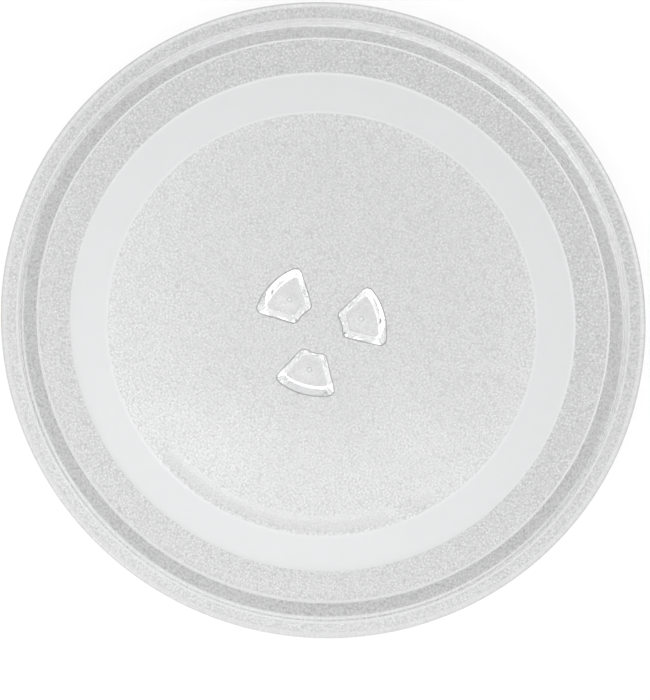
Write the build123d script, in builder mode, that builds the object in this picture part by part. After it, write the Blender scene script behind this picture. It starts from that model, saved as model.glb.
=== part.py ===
from build123d import *
import math
import os

# Dimensions in millimetres and degrees. The axis is Z and the lug feet stand on Z = 0.
plate_diameter = 245.0
rim_width = 8.6
wall_run = 4.1
floor_thickness = 4.5
wall_thickness = 4.3
rim_thickness = 4.3
rim_rise = 6.7
lug_height = 4.5

# Rounded corners of the pressed section
floor_corner_radius = 1.0
crest_radius = 1.1
heel_radius = 4.0
rim_corner_radius = 1.2
rim_edge_radius = 1.9

# Roller track, a smooth band that stands proud of the underside
track_margin = 12.2
track_width = 15.0
track_step = 0.2
track_ease = 1.0

# Smooth pads on the underside, in line with one lug and beside it
pad_gap = 2.2
pad_width = 6.2
pad_step = 0.15
long_pad_sweep = 68.0
short_pad_sweep = 3.0
short_pad_offset = 46.5

# Drive lugs, each a wedge with its narrow end to the axis
lug_count = 3
first_lug_angle = -90.0
lug_side_angle = 28.5
lug_root_inner_radius = 9.2
lug_root_outer_radius = 25.7
lug_root_apex = 0.3
lug_root_corner_radius = 2.2
lug_foot_inner_radius = 11.3
lug_foot_outer_radius = 22.5
lug_foot_apex = 5.0
lug_foot_corner_radius = 1.2
lug_foot_edge_radius = 0.3
lug_root_fillet_radius = 0.4
dimple_pitch_radius = 16.5
dimple_diameter = 2.1
dimple_depth = 0.25

# Levels and radii that follow from the dimensions above
plate_radius = plate_diameter / 2
crest_reach = plate_radius - rim_width
floor_radius = crest_reach - wall_run
underside = lug_height
floor_top = underside + floor_thickness
rim_top = floor_top + rim_rise
rim_underside = rim_top - rim_thickness
wall_slope = wall_run / rim_rise
wall_offset = wall_thickness * math.hypot(wall_run, rim_rise) / rim_rise
heel_reach = floor_radius + wall_offset - floor_thickness * wall_slope
rim_root = floor_radius + wall_offset + (rim_rise - rim_thickness) * wall_slope
track_outer = floor_radius - track_margin
track_inner = track_outer - track_width
pad_radius = track_inner - pad_gap - pad_width / 2
dimple_sphere_radius = (dimple_diameter**2 / 4 + dimple_depth**2) / (2 * dimple_depth)
pick_tolerance = 0.01


def lug_outline(sketch, inner_radius, outer_radius, apex, corner_radius):
    reach = outer_radius * 2
    half_width = reach * math.tan(math.radians(lug_side_angle))
    Circle(outer_radius)
    Circle(inner_radius, mode=Mode.SUBTRACT)
    with Locations((apex, 0)):
        Polygon((0, 0), (reach, -half_width), (reach, half_width), align=None, mode=Mode.INTERSECT)
    fillet(sketch.vertices(), corner_radius)


# One lug on the +X side, drafted from its root down to its foot
with BuildPart() as lug:
    with BuildSketch(Plane.XY.offset(underside)) as root:
        lug_outline(root, lug_root_inner_radius, lug_root_outer_radius, lug_root_apex, lug_root_corner_radius)
    with BuildSketch(Plane.XY) as foot:
        lug_outline(foot, lug_foot_inner_radius, lug_foot_outer_radius, lug_foot_apex, lug_foot_corner_radius)
    loft(ruled=True)
    fillet(lug.faces().sort_by(Axis.Z)[0].edges(), lug_foot_edge_radius)
    with Locations((dimple_pitch_radius, 0, dimple_depth - dimple_sphere_radius)):
        Sphere(dimple_sphere_radius, mode=Mode.SUBTRACT)

# Arcs along the middle of the two pads
with BuildLine() as long_pad_arc:
    CenterArc((0, 0), pad_radius, first_lug_angle - long_pad_sweep / 2, long_pad_sweep)
with BuildLine() as short_pad_arc:
    short_pad_middle = first_lug_angle + short_pad_offset
    CenterArc((0, 0), pad_radius, short_pad_middle - short_pad_sweep / 2, short_pad_sweep)

# The dish with its rim and roller track, then the lugs and the pads on its underside
with BuildPart() as plate:
    with BuildSketch(Plane.XZ) as section:
        with BuildLine():
            Polyline(
                (0, underside),
                (track_inner, underside),
                (track_inner + track_ease, underside - track_step),
                (track_outer - track_ease, underside - track_step),
                (track_outer, underside),
                (heel_reach, underside),
                (rim_root, rim_underside),
                (plate_radius, rim_underside),
                (plate_radius, rim_top),
                (crest_reach, rim_top),
                (floor_radius, floor_top),
                (0, floor_top),
                close=True,
            )
        make_face()
        for corner, radius in (
            ((heel_reach, underside), heel_radius),
            ((rim_root, rim_underside), rim_corner_radius),
            ((plate_radius, rim_underside), rim_edge_radius),
            ((plate_radius, rim_top), rim_edge_radius),
            ((crest_reach, rim_top), crest_radius),
            ((floor_radius, floor_top), floor_corner_radius),
        ):
            fillet(section.vertices().sort_by_distance(corner)[0], radius)
    revolve(axis=Axis.Z)
    with PolarLocations(0, lug_count, start_angle=first_lug_angle):
        add(lug.part)
    root_level = plate.edges().filter_by_position(
        Axis.Z, underside - pick_tolerance, underside + pick_tolerance
    )
    lug_roots = root_level.filter_by(lambda edge: math.hypot((edge @ 0).X, (edge @ 0).Y) < track_inner / 2)
    fillet(lug_roots, lug_root_fillet_radius)
    with BuildSketch(Plane.XY.offset(underside)):
        SlotArc(long_pad_arc.edges()[0], pad_width)
        SlotArc(short_pad_arc.edges()[0], pad_width)
    extrude(amount=-pad_step)

os.makedirs("parts", exist_ok=True)
plate.part.label = "turntable_plate"
export_step(plate.part, "parts/turntable_plate.step")
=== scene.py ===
import math

import bmesh
import bpy
from mathutils import Matrix, Quaternion, Vector


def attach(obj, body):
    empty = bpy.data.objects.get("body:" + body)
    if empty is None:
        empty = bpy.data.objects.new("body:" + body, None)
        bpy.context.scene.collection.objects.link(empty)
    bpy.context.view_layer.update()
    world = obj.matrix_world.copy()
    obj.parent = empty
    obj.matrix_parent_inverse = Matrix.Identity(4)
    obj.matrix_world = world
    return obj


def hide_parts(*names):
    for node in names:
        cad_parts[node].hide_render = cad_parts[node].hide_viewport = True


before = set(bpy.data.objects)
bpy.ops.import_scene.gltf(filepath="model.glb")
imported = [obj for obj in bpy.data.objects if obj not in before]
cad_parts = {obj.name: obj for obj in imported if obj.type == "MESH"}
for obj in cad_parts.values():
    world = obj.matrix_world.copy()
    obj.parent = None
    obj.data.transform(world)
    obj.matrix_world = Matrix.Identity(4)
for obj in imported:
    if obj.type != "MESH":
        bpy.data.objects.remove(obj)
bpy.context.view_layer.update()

scene = bpy.context.scene
mm = 0.001

# sizes in millimetres, angles in degrees, the same as in the solid
plate = {
    "radius": 122.5,
    "rimWidth": 8.6,
    "wallRun": 4.1,
    "floorThickness": 4.5,
    "wallThickness": 4.3,
    "rimThickness": 4.3,
    "rimRise": 6.7,
    "underside": 4.5,
    "floorCorner": 1.0,
    "crest": 1.1,
    "heel": 4.0,
    "rimCorner": 1.2,
    "rimEdge": 1.9,
    "trackMargin": 12.2,
    "trackWidth": 15.0,
    "trackStep": 0.2,
    "trackEase": 1.0,
    "firstRing": 20.0,    # innermost ring of the floor
    "around": 480,        # points on each ring
    "arcSteps": 10,       # steps in each rounded corner
    "flatSupport": 0.25,  # ring beside a rounded corner that keeps the flats flat
    "supportRoom": 0.75,  # strips longer than this get such a ring
    "sharpAngle": 30.0,
}
lugs = {
    "angles": (-90.0, 30.0, 150.0),
    "height": 4.5,
    "sideAngle": 28.5,
    "root": {"inner": 9.2, "outer": 25.7, "apex": 0.3, "corner": 2.2},
    "foot": {"inner": 11.3, "outer": 22.5, "apex": 5.0, "corner": 1.2},
    "rootFillet": 0.4,
    "footEdge": 0.3,
    "dimplePitch": 16.5,
    "dimpleRadius": 1.05,
    "dimpleDepth": 0.25,
    # steps along one half of the outline
    "steps": {"outer": 12, "outerCorner": 10, "side": 10, "innerCorner": 8, "inner": 6},
    "roundSteps": 6,      # steps in the roundings at root and foot
    "dimpleRings": 5,
    "dimpleAround": 24,
}
pads = {
    "gap": 2.2,
    "width": 6.2,
    "step": 0.15,
    "ease": 0.4,
    "sweeps": ((-90.0, 68.0), (-43.5, 3.0)),  # middle and sweep of each pad
    "fewestSteps": 6,     # along a pad, which otherwise has one for each degree
    "endSteps": 12,
}
clearFace, stippleFace, heelFace, wallFace, rimFace, edgeFace, rootFace, calmFace, paintedShadeLineFace = range(9)


def roundCorner(before, here, after, radius, steps):
    # points round the corner at here
    a, p, b = Vector(before), Vector(here), Vector(after)
    u, v = (a - p).normalized(), (b - p).normalized()
    half = math.acos(max(-1, min(1, u.dot(v)))) / 2
    centre = p + (u + v).normalized() * (radius / math.sin(half))
    cut = radius / math.tan(half)
    first, last = (p + u * cut - centre).normalized(), (p + v * cut - centre).normalized()
    return [tuple(centre + first.slerp(last, k / steps) * radius) for k in range(steps + 1)]


def plateSection():
    # radius, height and kind of the strip that follows, from the middle of the floor round to the track
    p = plate
    crest = p["radius"] - p["rimWidth"]
    floorEdge = crest - p["wallRun"]
    floorTop = p["underside"] + p["floorThickness"]
    rimTop = floorTop + p["rimRise"]
    rimUnder = rimTop - p["rimThickness"]
    slope = p["wallRun"] / p["rimRise"]
    offset = p["wallThickness"] * math.hypot(p["wallRun"], p["rimRise"]) / p["rimRise"]
    heel = floorEdge + offset - p["floorThickness"] * slope
    rimRoot = floorEdge + offset + (p["rimRise"] - p["rimThickness"]) * slope
    trackOut = floorEdge - p["trackMargin"]
    trackIn = trackOut - p["trackWidth"]
    step, ease = p["trackStep"], p["trackEase"]
    under = p["underside"]
    # radius, height, rounding, kinds of the two halves of the rounding, kind of the strip after it
    corners = [
        (p["firstRing"], floorTop, 0, None, clearFace),
        (floorEdge, floorTop, p["floorCorner"], (clearFace, clearFace), clearFace),
        (crest, rimTop, p["crest"], (clearFace, clearFace), clearFace),
        (p["radius"], rimTop, p["rimEdge"], (clearFace, edgeFace), edgeFace),
        (p["radius"], rimUnder, p["rimEdge"], (edgeFace, edgeFace), rimFace),
        (rimRoot, rimUnder, p["rimCorner"], (rootFace, rootFace), wallFace),
        (heel, under, p["heel"], (wallFace, calmFace), heelFace),
        (trackOut, under, 0, None, clearFace),
        (trackOut - ease, under - step, 0, None, clearFace),
        (trackIn + ease, under - step, 0, None, clearFace),
        (trackIn, under, 0, None, stippleFace),
    ]
    section = []
    for i, (r, z, radius, halves, kind) in enumerate(corners):
        arc = [(r, z)]
        if radius > 0:
            arc = roundCorner(corners[i - 1][:2], (r, z), corners[i + 1][:2], radius, p["arcSteps"])
        if i:
            into = Vector(arc[0]) - Vector(corners[i - 1][:2])
            if into.length > p["supportRoom"]:
                support = Vector(arc[0]) - into.normalized() * p["flatSupport"]
                section.append((*support, corners[i - 1][4]))
        section += [(*point, halves[2 * k // (len(arc) - 1)]) for k, point in enumerate(arc[:-1])]
        section.append((*arc[-1], kind))
        if i < len(corners) - 1:
            out = Vector(corners[i + 1][:2]) - Vector(arc[-1])
            if out.length > p["supportRoom"]:
                support = Vector(arc[-1]) + out.normalized() * p["flatSupport"]
                section.append((*support, kind))
    return section


def onCircle(angle, radius):
    return Vector((math.cos(angle), math.sin(angle))) * radius


def ring(bm, r, z, count, middle=(0, 0)):
    return [bm.verts.new(((middle[0] + r * math.cos(a)) * mm, (middle[1] + r * math.sin(a)) * mm, z * mm))
            for a in (2 * math.pi * k / count for k in range(count))]


def bridge(bm, first, second, kind):
    n = len(first)
    for k in range(n):
        face = bm.faces.new((first[k], first[(k + 1) % n], second[(k + 1) % n], second[k]))
        face.material_index = kind


def fillBetween(bm, loops, kind):
    # flat face inside the first loop and outside the others
    edges = []
    for loop in loops:
        for k in range(len(loop)):
            pair = (loop[k], loop[(k + 1) % len(loop)])
            edges.append(bm.edges.get(pair) or bm.edges.new(pair))
    made = bmesh.ops.triangle_fill(bm, use_beauty=True, use_dissolve=False, edges=edges)
    for item in made["geom"]:
        if isinstance(item, bmesh.types.BMFace):
            item.material_index = kind


def wedgeOutline(size):
    # rounded wedge on the +X side, the same number of points for any size
    side = math.radians(lugs["sideAngle"])
    tan = math.tan(side)
    normal = Vector((-math.sin(side), math.cos(side)))
    rounding = size["corner"]
    lift = rounding / math.cos(side)

    def cornerCentre(reach):
        # where the side line, moved inwards by the rounding, is as far from the axis as reach
        drop = size["apex"] * tan + lift
        a, b, c = 1 + tan * tan, -2 * tan * drop, drop**2 - reach**2
        x = (-b + math.sqrt(b * b - 4 * a * c)) / (2 * a)
        return Vector((x, (x - size["apex"]) * tan - lift))

    def roundTurn(centre, first, last, count):
        u, v = (first - centre).normalized(), (last - centre).normalized()
        return [centre + u.slerp(v, k / count) * rounding for k in range(count)]

    outerCentre = cornerCentre(size["outer"] - rounding)
    innerCentre = cornerCentre(size["inner"] + rounding)
    outerArc = outerCentre.normalized() * size["outer"]
    outerSide = outerCentre + normal * rounding
    innerSide = innerCentre + normal * rounding
    innerArc = innerCentre.normalized() * size["inner"]
    outerTurn = math.atan2(outerArc.y, outerArc.x)
    innerTurn = math.atan2(innerArc.y, innerArc.x)
    n = lugs["steps"]
    half = [onCircle(outerTurn * k / n["outer"], size["outer"]) for k in range(n["outer"])]
    half += roundTurn(outerCentre, outerArc, outerSide, n["outerCorner"])
    half += [outerSide.lerp(innerSide, k / n["side"]) for k in range(n["side"])]
    half += roundTurn(innerCentre, innerSide, innerArc, n["innerCorner"])
    half += [onCircle(innerTurn * (1 - k / n["inner"]), size["inner"]) for k in range(n["inner"] + 1)]
    return half + [Vector((p.x, -p.y)) for p in reversed(half[1:-1])]


def addLug(bm, angle):
    # drafted flat sides between the root outline and the foot outline, rounded a little at both ends
    turn = Matrix.Rotation(math.radians(angle), 2)
    roots = [turn @ p for p in wedgeOutline(lugs["root"])]
    feet = [turn @ p for p in wedgeOutline(lugs["foot"])]
    height, support, steps = lugs["height"], plate["flatSupport"], lugs["roundSteps"]
    rootRound, footRound = lugs["rootFillet"], lugs["footEdge"]
    columns = []
    for root, foot in zip(roots, feet):
        inward = foot - root
        slope = math.atan2(height, inward.length)
        start = -rootRound * math.tan(slope / 2)
        end = inward.length + footRound * math.tan(slope / 2)
        tilts = [slope * k / steps for k in range(steps + 1)]
        points = [(start - support, height)]
        points += [(start + rootRound * math.sin(a), height - rootRound * (1 - math.cos(a))) for a in tilts]
        points += [(end - footRound * math.sin(a), footRound * (1 - math.cos(a))) for a in reversed(tilts)]
        points.append((end + support, 0.0))
        inward.normalize()
        columns.append([(*(root + inward * along), z) for along, z in points])
    rows = [[bm.verts.new(Vector(point) * mm) for point in row] for row in zip(*columns)]
    # the strip beside the root and the root rounding get the painted shade line, a dark tint where shade
    # falls round the lug
    kinds = [paintedShadeLineFace] * (steps + 1) + [clearFace] + [edgeFace] * steps + [calmFace]
    for first, second, kind in zip(rows, rows[1:], kinds):
        bridge(bm, first, second, kind)
    # shallow dimple in the foot, with a painted shade line at its edge
    middle = turn @ Vector((lugs["dimplePitch"], 0))
    rings = []
    for k in range(lugs["dimpleRings"]):
        share = 1 - k / lugs["dimpleRings"]
        rise = lugs["dimpleDepth"] * (1 - share * share)
        rings.append(ring(bm, lugs["dimpleRadius"] * share, rise, lugs["dimpleAround"], middle))
    for k, (first, second) in enumerate(zip(rings, rings[1:])):
        bridge(bm, first, second, clearFace if k else paintedShadeLineFace)
    fillBetween(bm, [rings[-1]], clearFace)
    fillBetween(bm, [rows[-1], rings[0]], calmFace)
    return rows[0]


def addPad(bm, pitch, middle, sweep):
    # smooth patch with round ends that stands a little below the stipple
    start, end = math.radians(middle - sweep / 2), math.radians(middle + sweep / 2)
    count = max(pads["fewestSteps"], round(sweep))
    turns = [start + (end - start) * k / count for k in range(count + 1)]

    def roundEnd(angle, first, halfWidth):
        steps = pads["endSteps"]
        return [onCircle(angle, pitch) + onCircle(first + math.pi * k / steps, halfWidth)
                for k in range(1, steps)]

    def outline(halfWidth):
        points = [onCircle(a, pitch + halfWidth) for a in turns]
        points += roundEnd(end, end, halfWidth)
        points += [onCircle(a, pitch - halfWidth) for a in reversed(turns)]
        points += roundEnd(start, start + math.pi, halfWidth)
        return points

    rows = []
    for inset, drop in ((0, 0), (pads["ease"], pads["step"])):
        z = plate["underside"] - drop
        rows.append([bm.verts.new(Vector((p.x, p.y, z)) * mm) for p in outline(pads["width"] / 2 - inset)])
    bridge(bm, rows[0], rows[1], calmFace)
    fillBetween(bm, [rows[1]], calmFace)
    return rows[0]


def buildPlate():
    bm = bmesh.new()
    section = plateSection()
    rings = [ring(bm, r, z, plate["around"]) for r, z, kind in section]
    for first, second, (r, z, kind) in zip(rings, rings[1:], section):
        bridge(bm, first, second, kind)
    fillBetween(bm, [rings[0]], clearFace)
    trackIn = section[-1][0]
    pitch = trackIn - pads["gap"] - pads["width"] / 2
    holes = [addLug(bm, angle) for angle in lugs["angles"]]
    holes += [addPad(bm, pitch, middle, sweep) for middle, sweep in pads["sweeps"]]
    fillBetween(bm, [rings[-1]] + holes, stippleFace)
    bmesh.ops.recalc_face_normals(bm, faces=bm.faces)
    openEdges = sum(1 for e in bm.edges if len(e.link_faces) != 2)
    mesh = bpy.data.meshes.new("turntable_glass")
    bm.to_mesh(mesh)
    bm.free()
    mesh.shade_smooth()
    mesh.set_sharp_from_angle(angle=math.radians(plate["sharpAngle"]))
    piece = bpy.data.objects.new("turntable_glass", mesh)
    scene.collection.objects.link(piece)
    print("plate mesh", len(mesh.vertices), "points", len(mesh.polygons), "faces", openEdges, "open edges")
    return piece


def node(tree, kind, **values):
    made = tree.nodes.new(kind)
    for key, value in values.items():
        setattr(made, key, value)
    return made


grainField = {
    "detail": 2.0,
    "roughness": 0.6,
    "centre": 0.05,      # added to the height before it tints, to bring it about zero
    "glintEdge": 0.45,   # distance from the middle of a cell at which its painted glint ends
    "glintFull": 0.1,
    "unglintedShare": 0.6,   # share of the cells without a painted glint
}


def stippleAndGlintGroup():
    # hammered grain of the mould: a height for the bump and a tint for the light that comes through, with
    # painted glints in some cells
    group = bpy.data.node_groups.new("stippleGrainAndGlints", "ShaderNodeTree")
    for name in ("Grain Scale", "Contrast", "Level", "Painted Glints"):
        group.interface.new_socket(name=name, in_out="INPUT", socket_type="NodeSocketFloat")
    group.interface.new_socket(name="Height", in_out="OUTPUT", socket_type="NodeSocketFloat")
    group.interface.new_socket(name="Tint", in_out="OUTPUT", socket_type="NodeSocketColor")
    inputs = node(group, "NodeGroupInput")
    outputs = node(group, "NodeGroupOutput")
    where = node(group, "ShaderNodeTexCoord")
    cells = node(group, "ShaderNodeTexVoronoi", voronoi_dimensions="3D", feature="F1")
    fine = node(group, "ShaderNodeTexNoise", noise_dimensions="3D")
    fine.inputs["Detail"].default_value = grainField["detail"]
    fine.inputs["Roughness"].default_value = grainField["roughness"]
    mixed = node(group, "ShaderNodeMath", operation="SUBTRACT")
    centred = node(group, "ShaderNodeMath", operation="ADD")
    centred.inputs[1].default_value = grainField["centre"]
    toned = node(group, "ShaderNodeMath", operation="MULTIPLY_ADD")
    # painted glints: a bright point in some of the cells, added to the tint
    point = node(group, "ShaderNodeMapRange", interpolation_type="SMOOTHSTEP")
    point.inputs["From Min"].default_value = grainField["glintEdge"]
    point.inputs["From Max"].default_value = grainField["glintFull"]
    pick = node(group, "ShaderNodeSeparateColor")
    some = node(group, "ShaderNodeMath", operation="GREATER_THAN")
    some.inputs[1].default_value = grainField["unglintedShare"]
    glintMask = node(group, "ShaderNodeMath", operation="MULTIPLY")
    tintWithGlints = node(group, "ShaderNodeMath", operation="MULTIPLY_ADD")
    tone = node(group, "ShaderNodeCombineColor")
    link = group.links.new
    link(where.outputs["Object"], cells.inputs["Vector"])
    link(where.outputs["Object"], fine.inputs["Vector"])
    link(inputs.outputs["Grain Scale"], cells.inputs["Scale"])
    link(inputs.outputs["Grain Scale"], fine.inputs["Scale"])
    link(fine.outputs["Fac"], mixed.inputs[0])
    link(cells.outputs["Distance"], mixed.inputs[1])
    link(mixed.outputs[0], outputs.inputs["Height"])
    link(mixed.outputs[0], centred.inputs[0])
    link(centred.outputs[0], toned.inputs[0])
    link(inputs.outputs["Contrast"], toned.inputs[1])
    link(inputs.outputs["Level"], toned.inputs[2])
    link(cells.outputs["Distance"], point.inputs["Value"])
    link(cells.outputs["Color"], pick.inputs["Color"])
    link(pick.outputs[0], some.inputs[0])
    link(point.outputs["Result"], glintMask.inputs[0])
    link(some.outputs[0], glintMask.inputs[1])
    link(glintMask.outputs[0], tintWithGlints.inputs[0])
    link(inputs.outputs["Painted Glints"], tintWithGlints.inputs[1])
    link(toned.outputs[0], tintWithGlints.inputs[2])
    for channel in tone.inputs:
        link(tintWithGlints.outputs[0], channel)
    link(tone.outputs[0], outputs.inputs["Tint"])
    return group


# finishes of the glass, in the order of the face kinds; their tints also hold painted glints and painted
# shade
glass = {
    "clear": {"roughness": 0.0, "tint": (0.875, 0.88, 0.886, 1)},
    "stipple": {"roughness": 0.08, "bump": 0.4,
                "grain": {"Grain Scale": 1080.0, "Contrast": 0.4, "Level": 0.72, "Painted Glints": 0.18}},
    # ring between track and wall: its lower Level is partly a coarser stipple, partly painted shade beside
    # the wall
    "heel": {"roughness": 0.08, "bump": 0.4,
             "grain": {"Grain Scale": 1050.0, "Contrast": 0.42, "Level": 0.6, "Painted Glints": 0.18}},
    # outer wall: its low Level is partly scatter in the rough stipple, partly painted shade
    "wall": {"roughness": 0.35, "bump": 0.4,
             "grain": {"Grain Scale": 1050.0, "Contrast": 0.4, "Level": 0.39, "Painted Glints": 0.12}},
    "rim": {"roughness": 0.08, "bump": 0.4,
            "grain": {"Grain Scale": 1150.0, "Contrast": 0.36, "Level": 0.5, "Painted Glints": 0.12}},
    "edge": {"roughness": 0.05, "bump": 0.2,
             "grain": {"Grain Scale": 1100.0, "Contrast": 0.15, "Level": 0.58, "Painted Glints": 0.0}},
    "root": {"roughness": 0.05, "bump": 0.2,
             "grain": {"Grain Scale": 1100.0, "Contrast": 0.15, "Level": 0.66, "Painted Glints": 0.0}},
    "calm": {"roughness": 0.03, "bump": 0.15,
             "grain": {"Grain Scale": 1080.0, "Contrast": 0.2, "Level": 0.78, "Painted Glints": 0.08}},
    # painted shade line: a dark tint at the lug roots and the dimple edges
    "paintedShadeLine": {"roughness": 0.05, "bump": 0.2,
             "grain": {"Grain Scale": 1080.0, "Contrast": 0.1, "Level": 0.2, "Painted Glints": 0.0}},
}
glassBody = {"ior": 1.5, "transmission": 1.0, "bumpDepth": 0.0001}


def glassMaterial(name, look, grain):
    material = bpy.data.materials.new(name)
    material.use_nodes = True
    tree = material.node_tree
    tree.nodes.clear()
    link = tree.links.new
    output = node(tree, "ShaderNodeOutputMaterial")
    body = node(tree, "ShaderNodeBsdfPrincipled")
    body.inputs["Transmission Weight"].default_value = glassBody["transmission"]
    body.inputs["IOR"].default_value = glassBody["ior"]
    body.inputs["Roughness"].default_value = look["roughness"]
    link(body.outputs[0], output.inputs["Surface"])
    if "grain" not in look:
        body.inputs["Base Color"].default_value = look["tint"]
        return material
    field = node(tree, "ShaderNodeGroup", node_tree=grain)
    for socket, value in look["grain"].items():
        field.inputs[socket].default_value = value
    bump = node(tree, "ShaderNodeBump")
    bump.inputs["Strength"].default_value = look["bump"]
    bump.inputs["Distance"].default_value = glassBody["bumpDepth"]
    link(field.outputs["Height"], bump.inputs["Height"])
    link(field.outputs["Tint"], body.inputs["Base Color"])
    link(bump.outputs[0], body.inputs["Normal"])
    return material


grain = stippleAndGlintGroup()
piece = buildPlate()
for kind, look in glass.items():
    piece.data.materials.append(glassMaterial(kind + "Glass", look, grain))
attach(piece, "root")
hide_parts("turntable_plate")
print("plate dressed")

floor = {
    "size": 6.0,
    "drop": 0.0002,
    "colour": (0.205, 0.205, 0.205, 1),
    "glow": 0.7,
    "scatterLimit": 0.5,  # rays below this many diffuse bounces see the glow
}


def seenDirectly(tree):
    # 1 for rays that the camera follows, also in gloss or through glass, 0 for the light that falls on things
    path = node(tree, "ShaderNodeLightPath")
    glossy = node(tree, "ShaderNodeMath", operation="MAXIMUM")
    through = node(tree, "ShaderNodeMath", operation="MAXIMUM")
    unscattered = node(tree, "ShaderNodeMath", operation="LESS_THAN")
    unscattered.inputs[1].default_value = floor["scatterLimit"]
    seen = node(tree, "ShaderNodeMath", operation="MULTIPLY")
    link = tree.links.new
    link(path.outputs["Is Camera Ray"], glossy.inputs[0])
    link(path.outputs["Is Glossy Ray"], glossy.inputs[1])
    link(glossy.outputs[0], through.inputs[0])
    link(path.outputs["Is Transmission Ray"], through.inputs[1])
    link(path.outputs["Diffuse Depth"], unscattered.inputs[0])
    link(through.outputs[0], seen.inputs[0])
    link(unscattered.outputs[0], seen.inputs[1])
    return seen.outputs[0]


def buildFloor():
    mesh = bpy.data.meshes.new("studioFloor")
    half, low = floor["size"] / 2, -floor["drop"]
    mesh.from_pydata([(-half, -half, low), (half, -half, low), (half, half, low), (-half, half, low)],
                     [], [(0, 1, 2, 3)])
    table = bpy.data.objects.new("studioFloor", mesh)
    scene.collection.objects.link(table)
    material = bpy.data.materials.new("paleFloor")
    material.use_nodes = True
    tree = material.node_tree
    tree.nodes.clear()
    link = tree.links.new
    output = node(tree, "ShaderNodeOutputMaterial")
    both = node(tree, "ShaderNodeAddShader")
    matt = node(tree, "ShaderNodeBsdfDiffuse")
    matt.inputs["Color"].default_value = floor["colour"]
    shine = node(tree, "ShaderNodeEmission")
    level = node(tree, "ShaderNodeMath", operation="MULTIPLY")
    level.inputs[1].default_value = floor["glow"]
    link(seenDirectly(tree), level.inputs[0])
    link(level.outputs[0], shine.inputs["Strength"])
    link(matt.outputs[0], both.inputs[0])
    link(shine.outputs[0], both.inputs[1])
    link(both.outputs[0], output.inputs["Surface"])
    mesh.materials.append(material)


studio = {
    # grey of the tent from the horizon (0) to overhead (1), and a brighter patch on the side of the key lamp
    "tent": ((0.0, 0.9), (0.3, 1.0), (0.46, 2.1), (0.86, 2.1), (0.97, 0.45), (1.0, 0.3)),
    "patch": {"towards": (-0.2, -0.53, 0.82), "wide": 42.0, "full": 8.0, "gain": 0.7},
    "backdrop": 1.0,
    "lamps": {"count": 5, "first": -120.0, "away": 0.95, "height": 40.0,
              "sizes": (0.5, 0.4, 0.4, 0.4, 0.4), "powers": (0.6, 0.1, 0.1, 0.1, 0.1)},
}


def buildTent():
    world = bpy.data.worlds.new("softStudio")
    world.use_nodes = True
    tree = world.node_tree
    link = tree.links.new
    backdrop = tree.nodes["Background"]
    where = node(tree, "ShaderNodeTexCoord")
    split = node(tree, "ShaderNodeSeparateXYZ")
    ramp = node(tree, "ShaderNodeValToRGB")
    stops = ramp.color_ramp.elements
    while len(stops) < len(studio["tent"]):
        stops.new(0.5)  # each gets its place below
    for stop, (height, grey) in zip(stops, studio["tent"]):
        stop.position = height
        stop.color = (grey, grey, grey, 1)
    patch = studio["patch"]
    facing = node(tree, "ShaderNodeVectorMath", operation="DOT_PRODUCT")
    facing.inputs[1].default_value = Vector(patch["towards"]).normalized()
    soft = node(tree, "ShaderNodeMapRange", interpolation_type="SMOOTHSTEP")
    soft.inputs["From Min"].default_value = math.cos(math.radians(patch["wide"]))
    soft.inputs["From Max"].default_value = math.cos(math.radians(patch["full"]))
    soft.inputs["To Max"].default_value = patch["gain"]
    total = node(tree, "ShaderNodeMath", operation="ADD")
    link(where.outputs["Generated"], split.inputs[0])
    link(where.outputs["Generated"], facing.inputs[0])
    link(split.outputs["Z"], ramp.inputs["Fac"])
    link(facing.outputs["Value"], soft.inputs["Value"])
    link(ramp.outputs["Color"], total.inputs[0])
    link(soft.outputs["Result"], total.inputs[1])
    # plain white where the camera looks straight at it
    path = node(tree, "ShaderNodeLightPath")
    shown = node(tree, "ShaderNodeMix", data_type="FLOAT")
    shown.inputs["B"].default_value = studio["backdrop"]
    link(path.outputs["Is Camera Ray"], shown.inputs["Factor"])
    link(total.outputs[0], shown.inputs["A"])
    link(shown.outputs["Result"], backdrop.inputs["Color"])
    scene.world = world


def buildLamps():
    lamps = studio["lamps"]
    rise = math.radians(lamps["height"])
    for k, (size, power) in enumerate(zip(lamps["sizes"], lamps["powers"])):
        turn = math.radians(lamps["first"] + 360 * k / lamps["count"])
        way = Vector((math.cos(turn) * math.cos(rise), math.sin(turn) * math.cos(rise), math.sin(rise)))
        lamp = bpy.data.lights.new("softLamp%d" % k, "AREA")
        lamp.shape = "DISK"
        lamp.size = size
        lamp.energy = power
        holder = bpy.data.objects.new("softLamp%d" % k, lamp)
        holder.location = way * lamps["away"]
        holder.rotation_euler = (-way).to_track_quat("-Z", "Y").to_euler()
        scene.collection.objects.link(holder)


camera = {
    "place": (0.01467, 0.10441, 0.52210),
    "aim": (0.00397, -0.00669, 0.0059),
    "roll": -159.5,
    "lens": 70.35,
    "sensor": 36.0,
    "clipStart": 0.01,
}


def buildCamera():
    lens = bpy.data.cameras.new("photoCamera")
    lens.sensor_fit = "AUTO"
    lens.sensor_width = camera["sensor"]
    lens.lens = camera["lens"]
    lens.clip_start = camera["clipStart"]
    holder = bpy.data.objects.new("photoCamera", lens)
    place = Vector(camera["place"])
    upright = (Vector(camera["aim"]) - place).to_track_quat("-Z", "Y")
    holder.rotation_mode = "QUATERNION"
    holder.rotation_quaternion = upright @ Quaternion((0, 0, 1), math.radians(camera["roll"]))
    holder.location = place
    scene.collection.objects.link(holder)
    scene.camera = holder


buildFloor()
buildTent()
buildLamps()
buildCamera()
scene.view_settings.view_transform = "Standard"
scene.cycles.max_bounces = 24
scene.cycles.glossy_bounces = 18  # light turns many times inside the rim and the lugs
scene.cycles.transmission_bounces = 24
print("floor, lamps and camera set")
